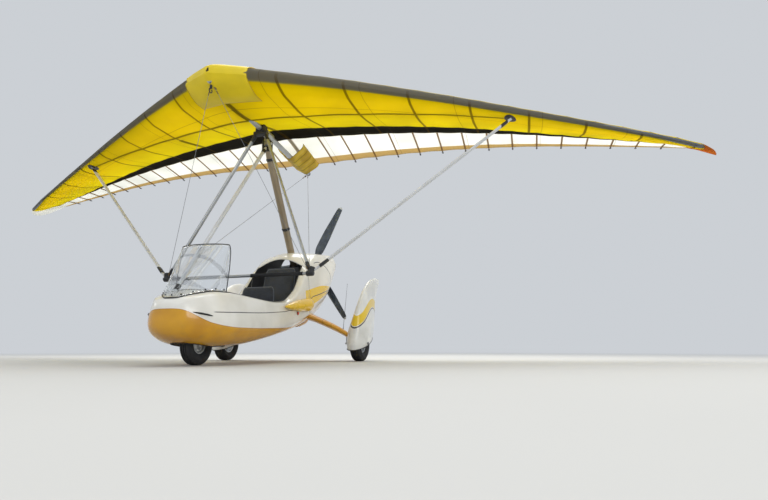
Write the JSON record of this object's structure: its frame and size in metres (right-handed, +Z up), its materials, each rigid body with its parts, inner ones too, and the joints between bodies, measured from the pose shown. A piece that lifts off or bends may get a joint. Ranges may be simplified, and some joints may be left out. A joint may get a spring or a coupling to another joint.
{
  "type": "weight-shift ultralight aircraft",
  "caption": "Two-seat weight-shift ultralight: a faired tricycle pod with a pusher propeller, hung under a strut-braced flexible wing with a control bar.",
  "frame": {"origin": "middle of the aircraft's bounding box, on the ground plane under the three tyres", "axes": "+X towards the pilot's left wing tip, -Y forward to the nose, +Z up"},
  "size_m": [9.8, 3.1485, 2.8525],
  "materials": {
    "shell_cream": "gloss",
    "shell_yellow": "gloss",
    "sail_cloth": "matte",
    "tip_cloth": "matte",
    "alloy": "satin",
    "steel": "satin",
    "painted_tube": "satin",
    "black_plastic": "matte",
    "engine": "matte",
    "tyre_rubber": "matte",
    "screen": "gloss",
    "seat_cloth": "matte",
    "blade": "satin",
    "lamp_lens": "gloss"
  },
  "bodies": {
    "trike": {"mast": "painted_tube", "front_strut": "alloy", "nose_pod": "shell_cream", "rear_cowl": "shell_cream", "windscreen": "screen", "instrument_panel": "black_plastic", "seat_base": "black_plastic", "pilot_seat": "seat_cloth", "passenger_seat": "seat_cloth", "engine_bed": "steel", "engine_block": "engine", "radiator_scoop": "shell_yellow", "side_outlet_left": "shell_yellow", "side_outlet_right": "shell_yellow", "leg_left": "shell_yellow", "leg_right": "shell_yellow", "spat_left": "shell_cream", "spat_right": "shell_cream", "trike_keel": "alloy", "whip_aerial": "black_plastic", "side_lamp": "lamp_lens"},
    "hang_link": {"hang_bracket": "alloy"},
    "wing": {"sail_left": "sail_cloth", "sail_right": "sail_cloth", "wing_tip_left": "tip_cloth", "wing_tip_right": "tip_cloth", "nose_cone": "sail_cloth", "keel_pocket": "sail_cloth", "lift_strut_left": "alloy", "lift_strut_right": "alloy", "upright_left": "alloy", "upright_right": "alloy", "base_bar": "black_plastic", "keel_tube": "alloy", "apex_bracket": "black_plastic", "front_stay_left": "steel", "front_stay_right": "steel", "rear_stay_left": "steel", "rear_stay_right": "steel"},
    "nose_fork": {"nose_fork": "steel"},
    "nose_wheel": {"nose_tyre": "tyre_rubber", "nose_rim": "alloy"},
    "main_wheel_left": {"main_tyre_left": "tyre_rubber", "main_rim_left": "alloy"},
    "main_wheel_right": {"main_tyre_right": "tyre_rubber", "main_rim_right": "alloy"},
    "propeller": {"propeller": "blade"}
  },
  "joints": [
    {"name": "wing_pitch", "type": "hinge", "parent": "trike", "child": "hang_link", "pos_m": [0, -0.10425, 2.43], "axis": [-1, 0, 0], "range_deg": [-6, 12]},
    {"name": "wing_roll", "type": "hinge", "parent": "hang_link", "child": "wing", "pos_m": [0, -0.09693, 2.53474], "axis": [0, -0.9976, 0.0698], "range_deg": [-15, 15]},
    {"name": "nose_steer", "type": "hinge", "parent": "trike", "child": "nose_fork", "pos_m": [0, -1.14425, 0.18], "axis": [0, 0.2079, 0.9781], "range_deg": [-20, 20]},
    {"name": "nose_wheel_spin", "type": "hinge", "parent": "nose_fork", "child": "nose_wheel", "pos_m": [0, -1.14425, 0.18], "axis": [1, 0, 0], "continuous": true},
    {"name": "main_wheel_left_spin", "type": "hinge", "parent": "trike", "child": "main_wheel_left", "pos_m": [0.873, 0.66575, 0.2], "axis": [1, 0, 0], "continuous": true},
    {"name": "main_wheel_right_spin", "type": "hinge", "parent": "trike", "child": "main_wheel_right", "pos_m": [-0.873, 0.66575, 0.2], "axis": [1, 0, 0], "continuous": true},
    {"name": "propeller_spin", "type": "hinge", "parent": "trike", "child": "propeller", "pos_m": [0, 1.26575, 1.245], "axis": [0, 1, 0], "continuous": true}
  ]
}
